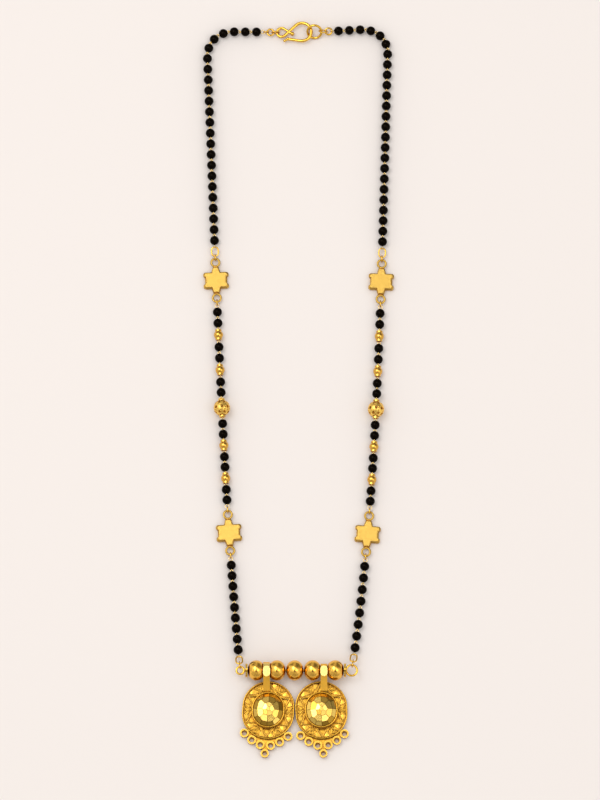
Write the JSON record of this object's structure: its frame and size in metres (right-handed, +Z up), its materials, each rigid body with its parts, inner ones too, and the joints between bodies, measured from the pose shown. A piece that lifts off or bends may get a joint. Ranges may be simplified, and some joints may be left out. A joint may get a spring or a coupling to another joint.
{
  "type": "mangalsutra necklace",
  "caption": "Long loop of black beads on gold pins with cast stars, gold balls, a ball bar and two round ornate pendants, closed by a hook and ring, laid flat.",
  "frame": {"origin": "middle of the laid-out necklace, on the surface that it lies on", "axes": "+Z up from the surface, +Y along the necklace from the pendants to the clasp, +X to the right seen from above"},
  "size_m": [0.0772, 0.3047, 0.0081],
  "materials": {
    "gold": "satin 22-carat gold",
    "black_bead": "glossy black glass"
  },
  "bodies": {
    "root": {"clasp_hook": "gold", "clasp_ring": "gold", "clasp_link_left_1": "gold", "clasp_link_left_2": "gold", "clasp_link_left_3": "gold", "clasp_link_right_1": "gold", "clasp_link_right_2": "gold", "beads_upper_left": "black_bead", "beads_upper_right": "black_bead", "beads_middle_left": "black_bead", "beads_middle_right": "black_bead", "beads_lower_left": "black_bead", "beads_lower_right": "black_bead", "pins_upper_left": "gold", "pins_upper_right": "gold", "pins_middle_left": "gold", "pins_middle_right": "gold", "pins_lower_left": "gold", "pins_lower_right": "gold", "gold_ball_left_1": "gold", "gold_ball_left_2": "gold", "gold_ball_left_3": "gold", "gold_ball_left_4": "gold", "gold_ball_right_1": "gold", "gold_ball_right_2": "gold", "gold_ball_right_3": "gold", "gold_ball_right_4": "gold", "filigree_ball_left": "gold", "filigree_ball_right": "gold", "star_upper_left": "gold", "star_upper_right": "gold", "star_lower_left": "gold", "star_lower_right": "gold", "star_links_upper_left": "gold", "star_links_upper_right": "gold", "star_links_lower_left": "gold", "star_links_lower_right": "gold", "bar_links_left": "gold", "bar_links_right": "gold", "bar": "gold", "bar_ball_1": "gold", "bar_ball_2": "gold", "bar_ball_3": "gold", "bar_ball_4": "gold", "bar_ball_5": "gold", "pendant_left": "gold", "pendant_right": "gold"}
  },
  "joints": []
}
